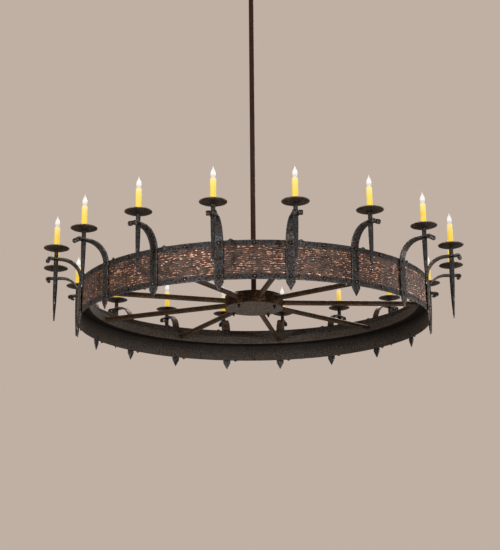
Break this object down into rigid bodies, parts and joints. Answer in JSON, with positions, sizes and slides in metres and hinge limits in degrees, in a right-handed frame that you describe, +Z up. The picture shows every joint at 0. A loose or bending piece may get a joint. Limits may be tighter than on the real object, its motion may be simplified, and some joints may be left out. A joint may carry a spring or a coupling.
{
  "type": "ring chandelier",
  "caption": "Forged-iron ring chandelier: riveted hammered-copper band, curled arms with spikes and candle lamps, spoked hub on a downrod.",
  "frame": {"origin": "Middle of the upper face of the ceiling plate, which lies against the ceiling.", "axes": "+Z up along the downrod and the axis of the ring; -Y to the front, the side that the picture looks at, midway between two arms; +X to the right, through an arm."},
  "size_m": [2.748, 2.7086, 2.605],
  "materials": {
    "forged_iron": "hammered, blackened iron with brown specks",
    "rusted_steel": "dull brown patina with rust specks",
    "hammered_copper": "hammered copper with a dark brown patina",
    "brown_steel": "smooth satin dark brown",
    "black_steel": "satin black",
    "bright_steel": "turned steel",
    "socket_resin": "matt moulded resin",
    "candle_resin": "waxy, translucent amber resin",
    "bulb_glass": "frosted glass, lit"
  },
  "bodies": {
    "ceiling": {"ceiling_plate": "black_steel"},
    "link": {"swivel_link": "black_steel", "swivel_pins": "bright_steel"},
    "fixture": {"rod_yoke": "black_steel", "downrod": "brown_steel", "rod_flange": "brown_steel", "hub_drum": "rusted_steel", "hub_cover": "rusted_steel", "hub_bolts": "black_steel", "spokes": "rusted_steel", "inner_ring": "rusted_steel", "channel_floor": "rusted_steel", "band_shell": "rusted_steel", "copper_skin": "hammered_copper", "top_rim": "forged_iron", "bottom_rim": "forged_iron", "rivets": "forged_iron", "spikes": "forged_iron", "posts": "forged_iron", "pans": "rusted_steel", "sockets": "socket_resin", "sleeves": "candle_resin", "arm_01": "forged_iron", "arm_02": "forged_iron", "arm_03": "forged_iron", "arm_04": "forged_iron", "arm_05": "forged_iron", "arm_06": "forged_iron", "arm_07": "forged_iron", "arm_08": "forged_iron", "arm_09": "forged_iron", "arm_10": "forged_iron", "arm_11": "forged_iron", "arm_12": "forged_iron", "arm_13": "forged_iron", "arm_14": "forged_iron", "arm_15": "forged_iron", "arm_16": "forged_iron", "arm_17": "forged_iron", "arm_18": "forged_iron"},
    "canopy_set": {"canopy": "brown_steel", "canopy_collar": "brown_steel"},
    "bulb_01": {"bulb_01": "bulb_glass"},
    "bulb_02": {"bulb_02": "bulb_glass"},
    "bulb_03": {"bulb_03": "bulb_glass"},
    "bulb_04": {"bulb_04": "bulb_glass"},
    "bulb_05": {"bulb_05": "bulb_glass"},
    "bulb_06": {"bulb_06": "bulb_glass"},
    "bulb_07": {"bulb_07": "bulb_glass"},
    "bulb_08": {"bulb_08": "bulb_glass"},
    "bulb_09": {"bulb_09": "bulb_glass"},
    "bulb_10": {"bulb_10": "bulb_glass"},
    "bulb_11": {"bulb_11": "bulb_glass"},
    "bulb_12": {"bulb_12": "bulb_glass"},
    "bulb_13": {"bulb_13": "bulb_glass"},
    "bulb_14": {"bulb_14": "bulb_glass"},
    "bulb_15": {"bulb_15": "bulb_glass"},
    "bulb_16": {"bulb_16": "bulb_glass"},
    "bulb_17": {"bulb_17": "bulb_glass"},
    "bulb_18": {"bulb_18": "bulb_glass"}
  },
  "joints": [
    {"name": "swing_front_back", "type": "hinge", "parent": "ceiling", "child": "link", "pos_m": [0, 0, -0.03], "axis": [1, 0, 0], "range_deg": [-8, 8]},
    {"name": "swing_left_right", "type": "hinge", "parent": "link", "child": "fixture", "pos_m": [0, 0, -0.068], "axis": [0, 1, 0], "range_deg": [-8, 8]},
    {"name": "canopy_drop", "type": "slide", "parent": "fixture", "child": "canopy_set", "axis": [0, 0, -1], "range_m": [0, 0.3]},
    {"name": "bulb_01_turn", "type": "hinge", "parent": "fixture", "child": "bulb_01", "pos_m": [0.22505, -1.27631, -2], "axis": [0, 0, 1], "range_deg": [0, 1080]},
    {"name": "bulb_02_turn", "type": "hinge", "parent": "fixture", "child": "bulb_02", "pos_m": [0.648, -1.12237, -2], "axis": [0, 0, 1], "range_deg": [0, 1080]},
    {"name": "bulb_03_turn", "type": "hinge", "parent": "fixture", "child": "bulb_03", "pos_m": [0.99279, -0.83305, -2], "axis": [0, 0, 1], "range_deg": [0, 1080]},
    {"name": "bulb_04_turn", "type": "hinge", "parent": "fixture", "child": "bulb_04", "pos_m": [1.21784, -0.44326, -2], "axis": [0, 0, 1], "range_deg": [0, 1080]},
    {"name": "bulb_05_turn", "type": "hinge", "parent": "fixture", "child": "bulb_05", "pos_m": [1.296, 0, -2], "axis": [0, 0, 1], "range_deg": [0, 1080]},
    {"name": "bulb_06_turn", "type": "hinge", "parent": "fixture", "child": "bulb_06", "pos_m": [1.21784, 0.44326, -2], "axis": [0, 0, 1], "range_deg": [0, 1080]},
    {"name": "bulb_07_turn", "type": "hinge", "parent": "fixture", "child": "bulb_07", "pos_m": [0.99279, 0.83305, -2], "axis": [0, 0, 1], "range_deg": [0, 1080]},
    {"name": "bulb_08_turn", "type": "hinge", "parent": "fixture", "child": "bulb_08", "pos_m": [0.648, 1.12237, -2], "axis": [0, 0, 1], "range_deg": [0, 1080]},
    {"name": "bulb_09_turn", "type": "hinge", "parent": "fixture", "child": "bulb_09", "pos_m": [0.22505, 1.27631, -2], "axis": [0, 0, 1], "range_deg": [0, 1080]},
    {"name": "bulb_10_turn", "type": "hinge", "parent": "fixture", "child": "bulb_10", "pos_m": [-0.22505, 1.27631, -2], "axis": [0, 0, 1], "range_deg": [0, 1080]},
    {"name": "bulb_11_turn", "type": "hinge", "parent": "fixture", "child": "bulb_11", "pos_m": [-0.648, 1.12237, -2], "axis": [0, 0, 1], "range_deg": [0, 1080]},
    {"name": "bulb_12_turn", "type": "hinge", "parent": "fixture", "child": "bulb_12", "pos_m": [-0.99279, 0.83305, -2], "axis": [0, 0, 1], "range_deg": [0, 1080]},
    {"name": "bulb_13_turn", "type": "hinge", "parent": "fixture", "child": "bulb_13", "pos_m": [-1.21784, 0.44326, -2], "axis": [0, 0, 1], "range_deg": [0, 1080]},
    {"name": "bulb_14_turn", "type": "hinge", "parent": "fixture", "child": "bulb_14", "pos_m": [-1.296, 0, -2], "axis": [0, 0, 1], "range_deg": [0, 1080]},
    {"name": "bulb_15_turn", "type": "hinge", "parent": "fixture", "child": "bulb_15", "pos_m": [-1.21784, -0.44326, -2], "axis": [0, 0, 1], "range_deg": [0, 1080]},
    {"name": "bulb_16_turn", "type": "hinge", "parent": "fixture", "child": "bulb_16", "pos_m": [-0.99279, -0.83305, -2], "axis": [0, 0, 1], "range_deg": [0, 1080]},
    {"name": "bulb_17_turn", "type": "hinge", "parent": "fixture", "child": "bulb_17", "pos_m": [-0.648, -1.12237, -2], "axis": [0, 0, 1], "range_deg": [0, 1080]},
    {"name": "bulb_18_turn", "type": "hinge", "parent": "fixture", "child": "bulb_18", "pos_m": [-0.22505, -1.27631, -2], "axis": [0, 0, 1], "range_deg": [0, 1080]}
  ]
}
